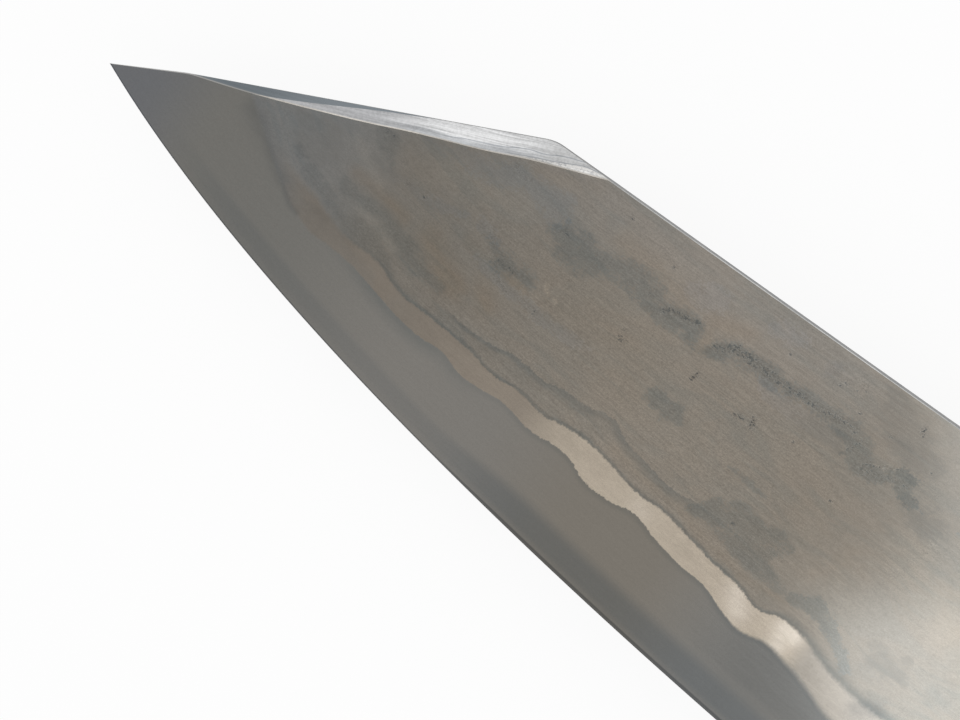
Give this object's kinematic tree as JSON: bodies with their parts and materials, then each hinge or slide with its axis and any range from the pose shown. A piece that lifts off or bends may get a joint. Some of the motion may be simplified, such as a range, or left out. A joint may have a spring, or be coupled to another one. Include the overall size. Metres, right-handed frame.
{
  "type": "bunka kitchen knife",
  "caption": "Kitchen knife with a clipped, swedged tip, a forged three-layer blade showing a wavy cladding line, and an octagonal wooden handle with a horn ferrule.",
  "frame": {"origin": "under the middle of the whole knife, on the surface that the handle's side facet lies on", "axes": "+X from the tip to the butt, +Y from the edge to the spine, +Z out of the blade's left face"},
  "size_m": [0.33, 0.0553, 0.02],
  "materials": {
    "hard_steel": "hazy polish",
    "soft_iron": "stone-polished, with forging stains",
    "wax": "satin",
    "horn": "polished",
    "handle_wood": "fine sanded, oiled",
    "dowel_wood": "raw",
    "resin": "clear amber"
  },
  "bodies": {
    "root": {"core_steel": "hard_steel", "left_cladding": "soft_iron", "right_cladding": "soft_iron", "neck_seal": "wax", "ferrule": "horn", "handle_body": "handle_wood", "tang_dowel": "dowel_wood", "tang_resin": "resin"}
  },
  "joints": []
}
